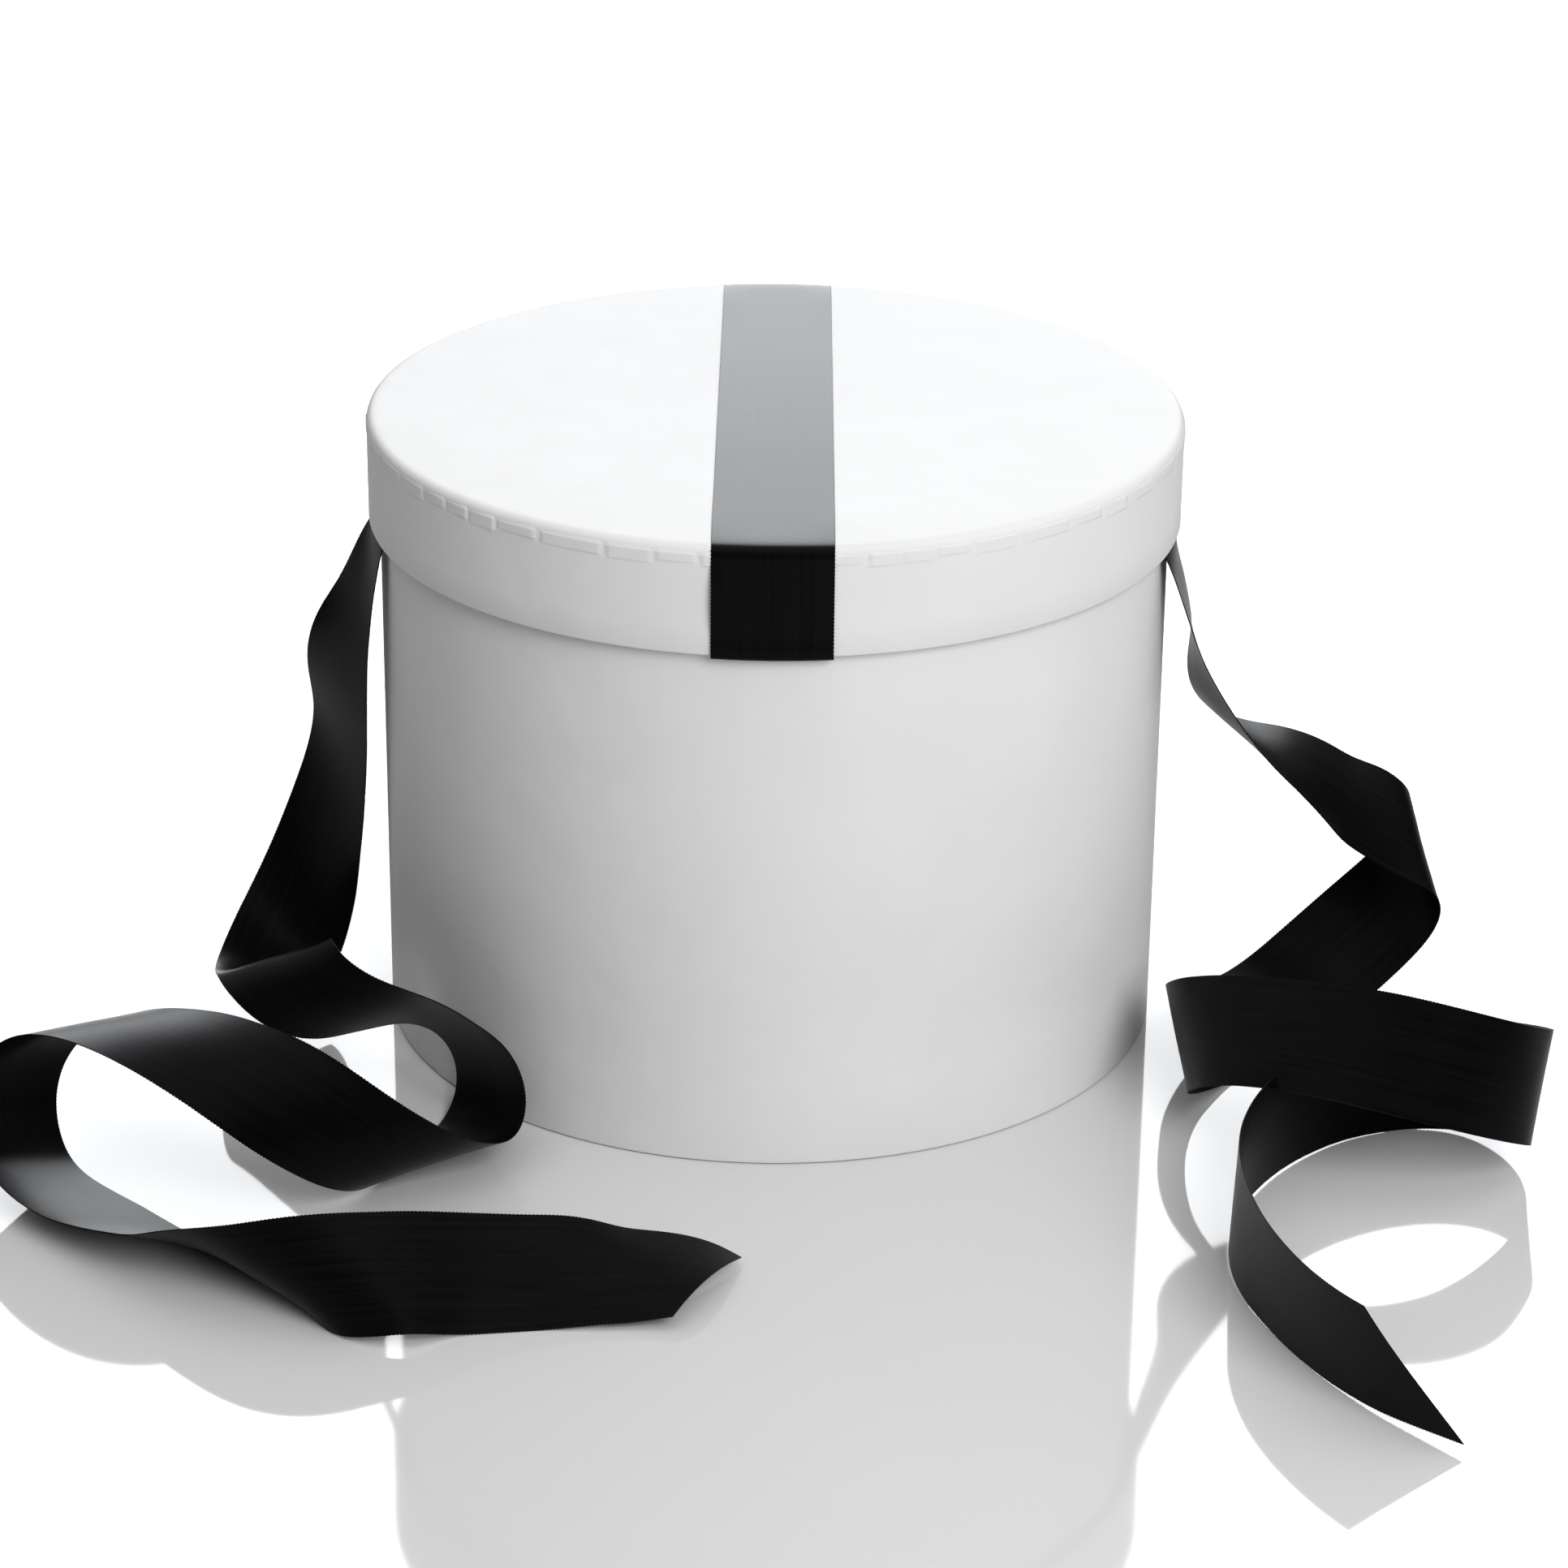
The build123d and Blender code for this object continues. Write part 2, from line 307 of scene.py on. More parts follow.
def quads(first, second):
    """Faces between two lists of point numbers of the same length."""
    return [
        (first[i], second[i], second[i + 1], first[i + 1]) for i in range(len(first) - 1)
    ]


def turned(name, profile, material, relief=None):
    """Closed outline of (radius, height) points, turned around the box's axis.

    An outline that starts and ends on the axis closes there with two single points.
    """
    radius, height = np.array(profile, float).T
    poles = radius[0] == 0 and radius[-1] == 0
    if poles:
        ends = [(0, 0, height[0]), (0, 0, height[-1])]
        radius = radius[1:-1]
        height = height[1:-1]
    angle = np.linspace(0, 2 * math.pi, SEGMENTS, endpoint=False)[:, None]
    out = radius[None] + (relief(angle, radius[None], height[None]) if relief else 0 * angle)
    level = np.broadcast_to(height[None], out.shape)
    grid = np.stack([out * np.cos(angle), out * np.sin(angle), level], axis=2)
    points = grid.reshape(-1, 3)
    count = len(radius)
    spans = count - 1 if poles else count
    faces = []
    for turn in range(SEGMENTS):
        here = turn * count
        there = (turn + 1) % SEGMENTS * count
        for index in range(spans):
            after = (index + 1) % count
            faces.append((here + index, there + index, there + after, here + after))
    if poles:
        start = len(points)
        points = np.concatenate([points, ends])
        for turn in range(SEGMENTS):
            here = turn * count
            there = (turn + 1) % SEGMENTS * count
            faces.append((start, there, here))
            faces.append((start + 1, here + count - 1, there + count - 1))
    return make_object(name, points, faces, material)


def spline(knots, values, places):
    """Natural cubic spline through values at the knots, read at the places."""
    gaps = np.diff(knots)
    count = len(knots)
    flat = values.reshape(count, -1)
    slopes = np.diff(flat, axis=0) / gaps[:, None]
    system = np.eye(count)
    pull = np.zeros_like(flat)
    for i in range(1, count - 1):
        system[i, i - 1 : i + 2] = gaps[i - 1], 2 * (gaps[i - 1] + gaps[i]), gaps[i]
        pull[i] = 6 * (slopes[i] - slopes[i - 1])
    bend = np.linalg.solve(system, pull)
    span = np.clip(np.searchsorted(knots, places) - 1, 0, count - 2)
    gap = gaps[span][:, None]
    a = (knots[span + 1] - places)[:, None] / gap
    b = 1 - a
    cubic = (a**3 - a) * bend[span] + (b**3 - b) * bend[span + 1]
    result = a * flat[span] + b * flat[span + 1] + cubic * gap**2 / 6
    return result.reshape(len(places), *values.shape[1:])


# ---- ribbon ----
WEAVE_STEP = 0.4  # row spacing of a ribbon's mesh
PICOT_PITCH = 1.2  # spacing of the small loops along the selvedge
PICOT_REACH = 0.22


def ribbon_piece(name, knots, rows, cuts=(0.0, 0.0)):
    """Satin strip of even thickness around a middle surface.

    rows are lines of points across the ribbon, at their distances (knots) along it.
    The last run is cut off slanted, by cuts at the two edges.
    """
    columns = np.array([0, 0.02, 0.06, 0.14, 0.26, 0.38, 0.5, 0.62, 0.74, 0.86, 0.94, 0.98, 1])
    across = spline(np.linspace(0, 1, rows.shape[1]), rows.swapaxes(0, 1), columns)
    length = knots[-1]
    along = np.linspace(0, length, int(length / WEAVE_STEP) + 1)
    slant = max(max(cuts) * 1.5, WEAVE_STEP)
    grid = np.empty((len(along), len(columns), 3))
    distance = np.empty((len(along), len(columns)))
    for index, column in enumerate(columns):
        taken = cuts[0] * (1 - column) + cuts[1] * column
        part = np.clip((along - (length - slant)) / slant, 0, 1)
        distance[:, index] = along - part * taken
        grid[:, index] = spline(knots, across[index], distance[:, index])
    side = np.gradient(grid, axis=1)
    onward = np.gradient(grid, axis=0)
    normal = np.cross(side, onward)
    normal /= np.linalg.norm(normal, axis=2)[:, :, None]
    wave = np.sign(np.sin(2 * math.pi * along / PICOT_PITCH)) * PICOT_REACH / 2
    for edge, way in ((0, -1), (-1, 1)):
        outward = side[:, edge] / np.linalg.norm(side[:, edge], axis=1)[:, None]
        grid[:, edge] += way * wave[:, None] * outward
    half = normal * RIBBON_THICKNESS / 2
    points = np.concatenate([(grid + half).reshape(-1, 3), (grid - half).reshape(-1, 3)])
    flat = np.stack([np.broadcast_to(columns * RIBBON_WIDTH, distance.shape), distance], axis=2)
    uvs = np.concatenate([flat.reshape(-1, 2)] * 2)
    upper = np.arange(grid.shape[0] * grid.shape[1]).reshape(grid.shape[:2])
    lower = upper + upper.size
    faces = []
    for row in range(len(along) - 1):
        faces += quads(upper[row].tolist(), upper[row + 1].tolist())
        faces += quads(lower[row + 1].tolist(), lower[row].tolist())
    sides = [
        (lower[:, 0], upper[:, 0]),
        (upper[:, -1], lower[:, -1]),
        (upper[0], lower[0]),
        (lower[-1], upper[-1]),
    ]
    for first, second in sides:
        faces += quads(first.tolist(), second.tolist())
    piece = make_object(name, points, faces, BLACK_SATIN, uvs)
    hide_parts(name.replace("_satin", ""))
    area = RIBBON_WIDTH * (length - sum(cuts) / 2)
    return piece, length, area


# ---- ties: developable strips relaxed onto their routes ----
ROW_GAP = 10.0
ACROSS = 5
ROUNDS = 45
FLOOR_CLEARANCE = 0.3
WALL_CLEARANCE = 0.7
LARGEST_MOVE = 4.0  # most that a point moves in one round
STILL = 0.02  # largest move at which the strip counts as settled

# Stiffnesses, relative to each other
STRETCH = 3.0  # springs along and across
SHEAR = 2.1  # springs on the diagonals
BEND_ALONG = 0.25
BEND_ACROSS = 0.375
KEEP_OFF = 4.0  # push out of the floor and the wall
DRAG = 0.001  # holds points that nothing else holds
PULL_STATION = 0.4  # pull of the rows next to a station
PULL_BETWEEN = 0.08
PULL_START = 20.0
PULL_END = 1.5
START_Z = RIM_BOTTOM - 0.7
START_RADIUS = RIM_INSIDE - 0.2


def arc_row(side, radius, height):
    """Line of points across a tie that lies against the wall."""
    y = TIE_CENTRE_Y + np.linspace(0.5, -0.5, ACROSS) * RIBBON_WIDTH
    x = side * np.sqrt(radius**2 - y**2)
    return np.stack([x, y, np.full(ACROSS, height)], axis=1)


def spread(block, blocks, first, second):
    """Add a block of three-by-three stiffness between pairs of points."""
    axis = np.arange(3)
    rows = (first[:, None, None], axis[None, :, None])
    columns = (second[:, None, None], axis[None, None, :])
    np.add.at(blocks, (*rows, *columns), block)


def strip_springs(number, gap):
    """Springs of a flat strip as arrays of first point, second point, length and stiffness."""
    cell = RIBBON_WIDTH / (ACROSS - 1)
    diagonal = math.hypot(gap, cell)
    springs = [
        (number[:-1], number[1:], gap, STRETCH),
        (number[:, :-1], number[:, 1:], cell, STRETCH),
        (number[:-1, :-1], number[1:, 1:], diagonal, SHEAR),
        (number[:-1, 1:], number[1:, :-1], diagonal, SHEAR),
    ]
    first = np.concatenate([spring[0].ravel() for spring in springs])
    second = np.concatenate([spring[1].ravel() for spring in springs])
    rest = np.concatenate([np.full(spring[0].size, spring[2]) for spring in springs])
    stiff = np.concatenate([np.full(spring[0].size, spring[3] ** 2) for spring in springs])
    return first, second, rest, stiff


def strip_bending(number):
    """Matrix that resists a kink in every three points in line."""
    bending = np.zeros((number.size, number.size))
    for triple, stiffness in (
        ((number[:-2], number[1:-1], number[2:]), BEND_ALONG),
        ((number[:, :-2], number[:, 1:-1], number[:, 2:]), BEND_ACROSS),
    ):
        for one, weight in zip(triple, (1, -2, 1)):
            for other, other_weight in zip(triple, (1, -2, 1)):
                share = weight * other_weight * stiffness**2
                np.add.at(bending, (one.ravel(), other.ravel()), share)
    return bending


def rows_on_route(route, start):
    """Evenly spaced rows between a route's two edges, and which rows lie next to a station."""
    stations = np.concatenate([[start[[0, -1]]], np.array(route, float)])
    steps = np.linalg.norm(np.diff(stations, axis=0), axis=2).mean(axis=1)
    knots = np.concatenate([[0], np.cumsum(steps)])
    fine = np.linspace(0, knots[-1], 40 * len(knots))
    dense = spline(knots, stations, fine)
    travelled = np.linalg.norm(np.diff(dense, axis=0), axis=2).mean(axis=1)
    distance = np.concatenate([[0], np.cumsum(travelled)])
    count = int(round(distance[-1] / ROW_GAP)) + 1
    rows_at = np.linspace(0, distance[-1], count)
    gap = rows_at[1]
    places = np.interp(rows_at, distance, fine)
    edges = spline(knots, stations, places)
    share = np.linspace(0, 1, ACROSS)[None, :, None]
    points = (edges[:, :1] * (1 - share) + edges[:, 1:] * share).reshape(-1, 3)
    points[:ACROSS] = start
    stations_at = np.interp(knots, fine, distance)
    near = np.abs(rows_at[:, None] - stations_at[None]).min(axis=1) < gap / 2
    return rows_at, points, near


def keep_off(points, force, blocks):
    """Push the points that are in the floor or the wall out of it."""
    every = np.arange(len(points))
    low = np.where(points[:, 2] < FLOOR_CLEARANCE, KEEP_OFF, 0.0)
    force[:, 2] += low * (FLOOR_CLEARANCE - points[:, 2])
    blocks[every, 2, every, 2] += low
    wall = BODY_RADIUS + WALL_CLEARANCE
    radius = np.linalg.norm(points[:, :2], axis=1)
    close = np.where(radius < wall, KEEP_OFF, 0.0)
    outward = points[:, :2] / radius[:, None]
    force[:, :2] += (close * (wall - radius))[:, None] * outward
    for axis in range(2):
        for other in range(2):
            blocks[every, axis, every, other] += close * outward[:, axis] * outward[:, other]


def relaxed_rows(route, side):
    """Rows of the free length: a flat strip bent, not stretched, along its route.

    Springs along, across and on both diagonals keep every cell its flat size. A weak bending
    stiffness smooths the strip, and the route's edge points pull it to its place.
    """
    start = arc_row(side, START_RADIUS, START_Z)
    rows_at, points, near = rows_on_route(route, start)
    goal = points.copy()
    count = len(rows_at)
    total = len(points)
    number = np.arange(total).reshape(count, ACROSS)
    pull = np.zeros(total)
    strength = np.where(near, PULL_STATION, PULL_BETWEEN)
    pull[number[:, 0]] = strength
    pull[number[:, -1]] = strength
    pull[number[-1]] = PULL_END
    pull[number[0]] = PULL_START
    first, second, rest, stiff = strip_springs(number, rows_at[1])
    bending = strip_bending(number)

    every = np.arange(total)
    for _ in range(ROUNDS):
        run = points[second] - points[first]
        long = np.linalg.norm(run, axis=1)
        way = run / long[:, None]
        block = stiff[:, None, None] * way[:, :, None] * way[:, None, :]
        blocks = np.zeros((total, 3, total, 3))
        spread(block, blocks, first, first)
        spread(block, blocks, second, second)
        spread(-block, blocks, first, second)
        spread(-block, blocks, second, first)
        force = (pull**2)[:, None] * (goal - points) - bending @ points
        push = (stiff * (rest - long))[:, None] * way
        np.add.at(force, second, push)
        np.add.at(force, first, -push)
        for axis in range(3):
            blocks[:, axis, :, axis] += bending
            blocks[every, axis, every, axis] += pull**2 + DRAG
        keep_off(points, force, blocks)
        move = np.linalg.solve(blocks.reshape(3 * total, 3 * total), force.ravel())
        move = move.reshape(total, 3)
        largest = np.linalg.norm(move, axis=1).max()
        points = points + move * min(1.0, LARGEST_MOVE / largest)
        if largest < STILL:
            break
    return rows_at, points.reshape(count, ACROSS, 3)


def make_tie(side, name, route, cuts):
    """A tie: glued tail inside the wall, through its slot, under the rim, then its free length."""
    inside = WALL_INSIDE - RIBBON_THICKNESS
    against = BODY_RADIUS + RIBBON_THICKNESS / 2 + 0.2
    middle = TIE_SLOT_Z - TIE_SLOT_HEIGHT / 2
    anchor = [
        (inside, TIE_SLOT_Z - TIE_TAIL),
        (inside, TIE_SLOT_Z - TIE_TAIL / 2),
        (inside, middle - 3.0),
        (inside + 0.3, middle - 1.0),
        (inside + 1.2, middle - 0.1),
        (against - 0.9, middle + 0.05),
        (against - 0.1, middle - 0.8),
        (against, middle - 2.5),
        (against + 0.05, RIM_BOTTOM + 4.0),
        (against + 0.2, RIM_BOTTOM + 1.5),
    ]
    anchor_rows = np.array([arc_row(side, radius, height) for radius, height in anchor])
    free_at, free_rows = relaxed_rows(route, side)
    rows = np.concatenate([anchor_rows, free_rows])
    steps = np.linalg.norm(np.diff(rows[: len(anchor) + 1], axis=0), axis=2).mean(axis=1)
    lead = np.concatenate([[0], np.cumsum(steps)])
    knots = np.concatenate([lead, lead[-1] + free_at[1:]])
    tie, length, area = ribbon_piece(name + "_satin", knots, rows, cuts)
    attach(tie, "body")


# ---- lid: papers and board with a softened top edge ----
TAB_COUNT = 54
TAB_DROP = 6.0
TAB_NOTCH = 1.4
TAB_EDGE = 0.5  # width of the slope at a notch's side
EDGE_TOP = LID_TOP - 3.5  # where the rim's straight part ends


def smoothstep(low, high, value):
    """Smooth step from 0 at the low value to 1 at the high one."""
    part = np.clip((value - low) / (high - low), 0, 1)
    return part * part * (3 - 2 * part)


def hand(angle, seed):
    """Slow wander around the box, of a hand-pasted paper, between about -1 and 1."""
    return (np.sin(3 * angle + seed) + 0.6 * np.sin(7 * angle + 2.3 * seed)) / 1.6


def seam(angle, at, overlap):
    """Height, 0 to 1, of a paper's overlap that starts sharply and dies away."""
    past = (angle - math.radians(at)) % (2 * math.pi)
    width = overlap / LID_RADIUS
    return smoothstep(0, 0.25 / LID_RADIUS, past) * (1 - smoothstep(0.3 * width, width, past))


def rim_relief(angle, radius, height):
    """Turned-down tabs show through the rim's wrap, as do its overlap and slight waves."""
    pitch = 2 * math.pi / TAB_COUNT
    shifted = angle + 0.3 * pitch * np.sin(5 * angle) + 0.22 * pitch * np.sin(11 * angle + 1)
    tab = np.floor(shifted / pitch)
    inside = (shifted / pitch - tab) * pitch * LID_RADIUS
    across = pitch * LID_RADIUS
    notch = 1 - smoothstep(TAB_NOTCH / 2, TAB_NOTCH / 2 + TAB_EDGE, np.minimum(inside, across - inside))
    lift = 0.2 * np.sin(tab * 12.9898) * (2 * inside / across - 1)
    band_end = LID_TOP - TAB_DROP - 0.7 * np.sin(tab * 4.1)
    band = smoothstep(band_end - 0.6, band_end, height) * (1 - smoothstep(EDGE_TOP, LID_TOP, height))
    outside = smoothstep(RIM_INSIDE + 0.6, LID_RADIUS - PAPER, radius)
    bulge = band * (0.2 + lift - 0.3 * notch)
    overlap = 0.3 * seam(angle, 112, 11)
    return outside * (bulge + overlap + 0.1 * hand(angle, 1.0) - 0.2)


def make_lid_top():
    """The lid's top paper, over the softened edge and down the hoop."""
    soft = LID_RADIUS - PAPER  # outside of the turned-down paper
    top_outline = [
        (0, LID_TOP),
        (50, LID_TOP),
        (100, LID_TOP),
        (soft - 4, LID_TOP),
        (soft - 2.6, LID_TOP - 0.08),
        (soft - 1.6, LID_TOP - 0.3),
        (soft - 0.8, LID_TOP - 0.75),
        (soft - 0.3, LID_TOP - 1.4),
        (soft, LID_TOP - 2.3),
        (soft, LID_TOP - TAB_DROP),
        (soft - PAPER, LID_TOP - TAB_DROP),
        (soft - PAPER, LID_TOP - 3.5),
        (soft - 0.7, LID_TOP - 1.8),
        (soft - 1.9, LID_TOP - 0.7),
        (soft - 4, LID_TOP - PAPER),
        (100, LID_TOP - PAPER),
        (0, LID_TOP - PAPER),
    ]
    top = turned("lid_top_covering", top_outline, WHITE_PAPER)
    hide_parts("lid_top_paper")
    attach(top, "lid")


def make_lid_board():
    """The lid's disc of board, its edge worn round under the paper."""
    board_top = LID_TOP - PAPER
    board_bottom = board_top - WALL_BOARD
    edge = HOOP_RADIUS
    board_outline = [
        (0, board_top),
        (edge - 8, board_top),
        (edge - 3.3, board_top - 0.5),
        (edge - 1.2, board_top - 1.6),
        (edge - 0.3, board_bottom),
        (0, board_bottom),
    ]
    board = turned("lid_disc_board", board_outline, GREY_BOARD)
    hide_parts("lid_disc")
    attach(board, "lid")


def make_lid_rim():
    """The rim's paper, turned up inside, with the tabs under it showing through."""
    outer = LID_RADIUS
    inner = RIM_INSIDE
    hoop_inside = HOOP_RADIUS - RIM_BOARD
    rim_outline = [(inner, RIM_BOTTOM + TURN_IN)]
    rim_outline += [(inner, RIM_BOTTOM + 0.9), (inner + 0.25, RIM_BOTTOM + 0.25)]
    rim_outline += [(inner + 0.8, RIM_BOTTOM), (outer - 0.8, RIM_BOTTOM)]
    rim_outline += [(outer - 0.25, RIM_BOTTOM + 0.25), (outer, RIM_BOTTOM + 0.9)]
    rim_outline += [(outer, RIM_BOTTOM + 10), (outer, RIM_BOTTOM + 20)]
    lowest = LID_TOP - TAB_DROP - 1.6
    rim_outline += [(outer, lowest + 0.3 * step) for step in range(17)]
    rim_outline += [(outer - 0.12, LID_TOP - 2.6), (outer - 0.4, LID_TOP - 1.9)]
    rim_outline += [(outer - 0.62, LID_TOP - 1.95), (outer - 0.35, LID_TOP - 3.0)]
    rim_outline += [(outer - PAPER, LID_TOP - 4), (outer - PAPER, RIM_BOTTOM + 1)]
    rim_outline += [(outer - 1, RIM_BOTTOM + PAPER), (hoop_inside + 0.6, RIM_BOTTOM + PAPER)]
    rim_outline += [(hoop_inside, RIM_BOTTOM + 1), (hoop_inside, RIM_BOTTOM + TURN_IN)]
    rim = turned("lid_rim_paper", rim_outline, WHITE_PAPER, rim_relief)
    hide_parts("lid_rim_wrap")
    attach(rim, "lid")


# ---- body: the wall's covering paper ----
def wall_relief(angle, radius, height):
    """The wall paper's overlap and slight waves, on the outside only."""
    outside = smoothstep(BODY_RADIUS - 0.4, BODY_RADIUS, radius)
    return outside * (0.3 * seam(angle, 74, 12) + 0.08 * hand(angle, 4.0) - 0.1)


def cut_tie_slots(piece):
    """Cut the two slits that the ties leave by."""
    size = np.array([40.0, TIE_SLOT_WIDTH, TIE_SLOT_HEIGHT])
    corners = np.array([(x, y, z) for x in (-0.5, 0.5) for y in (-0.5, 0.5) for z in (-0.5, 0.5)])
    faces = [(0, 1, 3, 2), (4, 6, 7, 5), (0, 4, 5, 1), (2, 3, 7, 6), (0, 2, 6, 4), (1, 5, 7, 3)]
    cutters = []
    for side in (-1, 1):
        middle = (side * BODY_RADIUS, TIE_CENTRE_Y, TIE_SLOT_Z - TIE_SLOT_HEIGHT / 2)
        cutter = make_object("slit", corners * size + middle, faces, WHITE_PAPER)
        modifier = piece.modifiers.new("slit", "BOOLEAN")
        modifier.operation = "DIFFERENCE"
        modifier.solver = "EXACT"
        modifier.object = cutter
        cutters.append(cutter)
    finished = piece.evaluated_get(bpy.context.evaluated_depsgraph_get())
    mesh = bpy.data.meshes.new_from_object(finished)
    piece.modifiers.clear()
    piece.data = mesh
    for cutter in cutters:
        bpy.data.objects.remove(cutter)


def make_wall():
    """The wall's covering paper, turned in over the top edge and under the base."""
    outer = BODY_RADIUS
    tube = outer - PAPER
    inner = WALL_INSIDE
    outline = [(tube - TURN_IN, PAPER), (outer - 0.8, PAPER), (outer - 0.25, PAPER + 0.2)]
    outline += [(outer, PAPER + 0.8), (outer, 30), (outer, 60), (outer, 90), (outer, 120)]
    outline += [(outer, 150), (outer, 180), (outer, BODY_TOP - 0.6), (outer - 0.2, BODY_TOP - 0.15)]
    outline += [(outer - 0.6, BODY_TOP), (inner + 0.5, BODY_TOP), (inner + 0.15, BODY_TOP - 0.15)]
    outline += [(inner, BODY_TOP - 0.5), (inner, BODY_TOP - TURN_IN)]
    outline += [(inner + PAPER, BODY_TOP - TURN_IN), (inner + PAPER, BODY_TOP - PAPER)]
    outline += [(tube, BODY_TOP - PAPER), (tube, 2 * PAPER), (tube - TURN_IN, 2 * PAPER)]
    wall = turned("body_wrap_paper", outline, WHITE_PAPER, wall_relief)
    cut_tie_slots(wall)
    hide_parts("body_wrap")
    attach(wall, "body")


# ---- ribbon glued across the lid ----
def make_lid_ribbon():
    """Ribbon across the lid, down the rim at both ends and turned up inside it."""
    on_rim = LID_RADIUS + RIBBON_THICKNESS / 2
    on_top = LID_TOP + RIBBON_THICKNESS / 2
    hem = RIM_INSIDE - RIBBON_THICKNESS / 2
    bottom = RIM_BOTTOM - 1.0
    half = [
        (hem, RIM_BOTTOM + RIBBON_HEM),
        (hem, RIM_BOTTOM + 5),
        (hem, RIM_BOTTOM + 1.5),
        (hem + 0.3, bottom + 0.6),
        (hem + 1.3, bottom),
        (on_rim - 0.8, bottom + 0.1),
        (on_rim, bottom + 1.0),
        (on_rim + 0.15, RIM_BOTTOM + 4),
        (on_rim + 0.25, RIM_BOTTOM + 14),
        (on_rim + 0.1, RIM_BOTTOM + 26),
        (on_rim, LID_TOP - 4.5),
        (on_rim - 0.2, LID_TOP - 2.6),
        (on_rim - 0.9, LID_TOP - 1.2),
        (on_rim - 2.2, LID_TOP - 0.3),
        (on_rim - 4.0, on_top - 0.12),
        (on_rim - 7.0, on_top + 0.02),
        (on_rim - 14, on_top + 0.05),
        (on_rim - 40, on_top),
        (on_rim - 90, on_top),
    ]
    path = np.array([(-reach, height) for reach, height in half] + [(0, on_top)])
    path = np.concatenate([path, [(-reach, height) for reach, height in path[-2::-1]]])
    knots = np.concatenate([[0], np.cumsum(np.linalg.norm(np.diff(path, axis=0), axis=1))])
    x = np.linspace(-0.5, 0.5, 9) * RIBBON_WIDTH
    bow = np.sqrt(on_rim**2 - x**2) / on_rim
    reach, height = path[:, :1], path[:, 1:]
    at_side = (np.abs(x) / RIBBON_WIDTH * 2) ** 2
    near_edge = smoothstep(on_rim - 12, on_rim - 5, np.abs(reach))
    near_edge = near_edge * (1 - smoothstep(on_rim - 3, on_rim - 1, np.abs(reach)))
    # the front end's left edge stands a little off the rim
    on_front = (reach < 0) * smoothstep(RIM_BOTTOM, RIM_BOTTOM + 14, height)
    on_front = on_front * (1 - smoothstep(LID_TOP - 12, LID_TOP - 3, height))
    lift = 0.9 * on_front * smoothstep(-12, -19, x)
    rows = np.stack(
        [
            np.broadcast_to(x, lift.shape),
            (reach - lift) * bow,
            height - 0.12 * at_side * near_edge,
        ],
        axis=2,
    )
    ribbon, length, _ = ribbon_piece("lid_ribbon_satin", knots, rows)
    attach(ribbon, "lid")


# ---- CAD nodes that stay ----
def dress_cad():
    """Materials of the CAD nodes that no piece replaces."""
    looks = [
        (LINING_PAPER, ["body_lining", "base_lining", "lid_lining", "lid_hoop_lining"]),
        (GREY_BOARD, ["body_tube", "base_disc", "lid_hoop"]),
        (WHITE_PAPER, ["base_cover", "left_tie_patch", "right_tie_patch"]),
    ]
    for material, names in looks:
        for name in names:
            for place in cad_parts[name].material_slots:
                place.material = material


make_wall()
make_lid_top()
make_lid_board()
make_lid_rim()
make_lid_ribbon()
make_tie(-1, "left_tie_ribbon", LEFT_ROUTE, LEFT_CUT)
make_tie(1, "right_tie_ribbon", RIGHT_ROUTE, RIGHT_CUT)
dress_cad()


# ---- stage and light ----
OVERHEAD = 1.0  # strength of the world above the box
ROOM = 0.03  # strength of the rest of the world
BACKDROP = 100.0  # watts
FRONT_FILL = 34.5  # watts
SHEEN_STRIP = 0.8  # watts
WHITE = (1, 1, 1)
COOL = (0.95, 0.975, 1.0)


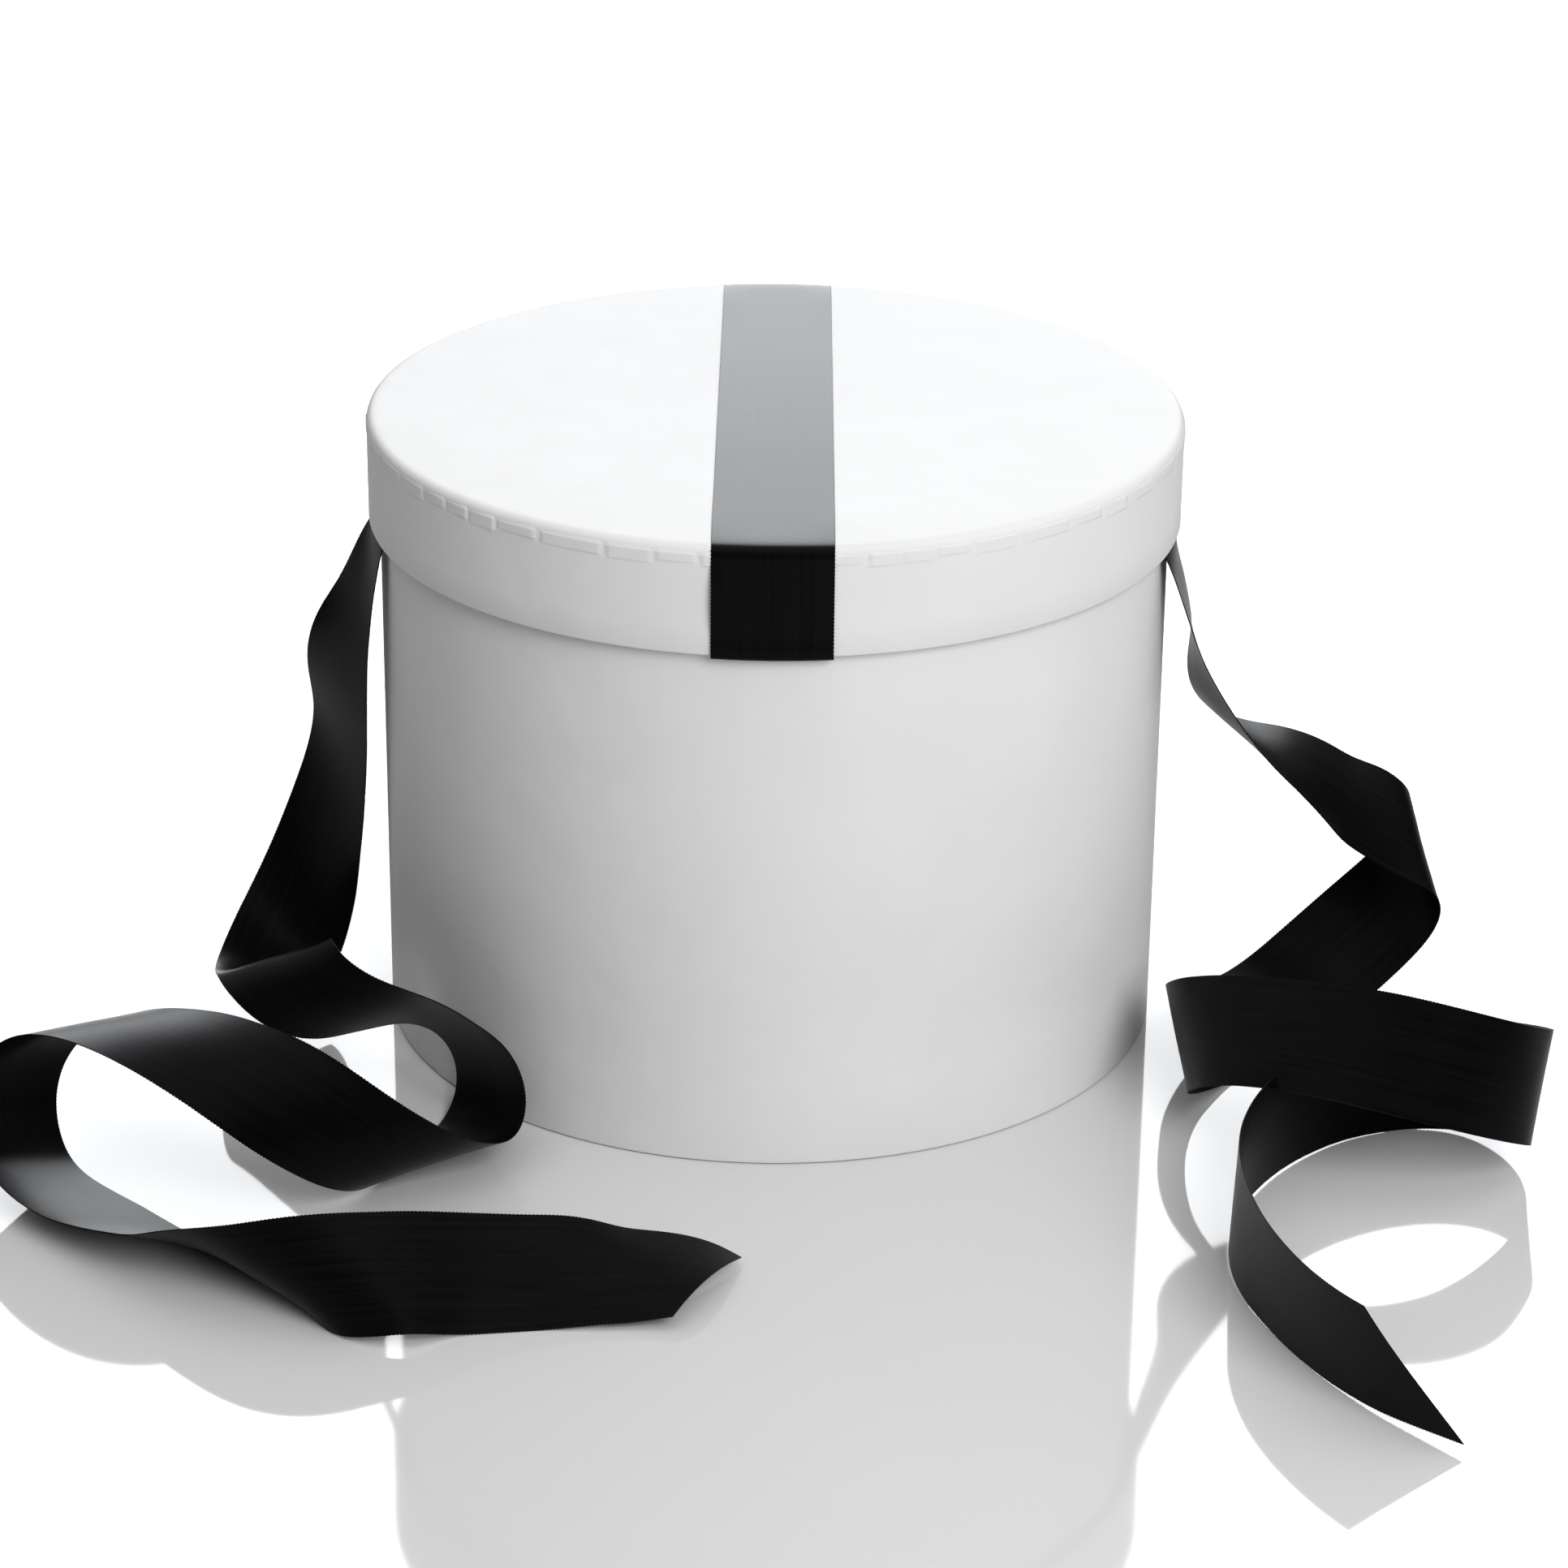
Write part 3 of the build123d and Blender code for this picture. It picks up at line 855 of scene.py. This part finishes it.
def make_floor():
    """Large flat table top under the box."""
    half = 6000.0
    corners = [(-half, -half, 0), (half, -half, 0), (half, half, 0), (-half, half, 0)]
    floor = make_object("floor", corners, [(0, 1, 2, 3)], floor_material())


def make_area_light(name, place, target, size, power, colour, mirrored):
    """Area light that only mirrors in what it lights, or only lights it."""
    data = bpy.data.lights.new(name, "AREA")
    data.shape = "RECTANGLE"
    data.size, data.size_y = size
    data.energy = power
    light = bpy.data.objects.new(name, data)
    light.location = place
    data.color = colour
    way = Vector(target) - Vector(place)
    light.rotation_euler = way.to_track_quat("-Z", "Y").to_euler()
    light.visible_camera = False
    light.visible_diffuse = not mirrored
    light.visible_glossy = mirrored
    bpy.context.scene.collection.objects.link(light)


def make_world():
    """Dark room under a broad, soft overhead light."""
    world = bpy.data.worlds.new("studio")
    world.use_nodes = True
    nodes = world.node_tree.nodes
    links = world.node_tree.links
    place = nodes.new("ShaderNodeTexCoord")
    along = nodes.new("ShaderNodeVectorMath")
    along.operation = "DOT_PRODUCT"
    along.inputs[1].default_value = Vector((0, 0.25, 1)).normalized()
    fade = nodes.new("ShaderNodeMapRange")
    fade.interpolation_type = "SMOOTHSTEP"
    fade.inputs["From Min"].default_value = 0.25
    fade.inputs["From Max"].default_value = 0.95
    fade.inputs["To Min"].default_value = ROOM
    fade.inputs["To Max"].default_value = OVERHEAD
    links.new(place.outputs["Generated"], along.inputs[0])
    links.new(along.outputs["Value"], fade.inputs["Value"])
    background = nodes["Background"]
    background.inputs["Color"].default_value = (0.985, 0.985, 1.0, 1)
    links.new(fade.outputs["Result"], background.inputs["Strength"])
    bpy.context.scene.world = world


make_floor()
make_world()
make_area_light("backdrop", (0.1, 3.0, 1.35), (0, 0, 0.2), (2.3, 2.3), BACKDROP, COOL, True)
make_area_light("front_fill", (0.9, -1.7, 1.3), (0, 0, 0.1), (1.2, 1.2), FRONT_FILL, WHITE, False)
make_area_light("sheen_strip", (0.8, -1.6, 1.7), (0, 0, 0.1), (0.35, 0.9), SHEEN_STRIP, COOL, True)
bpy.context.scene.view_settings.view_transform = "Standard"
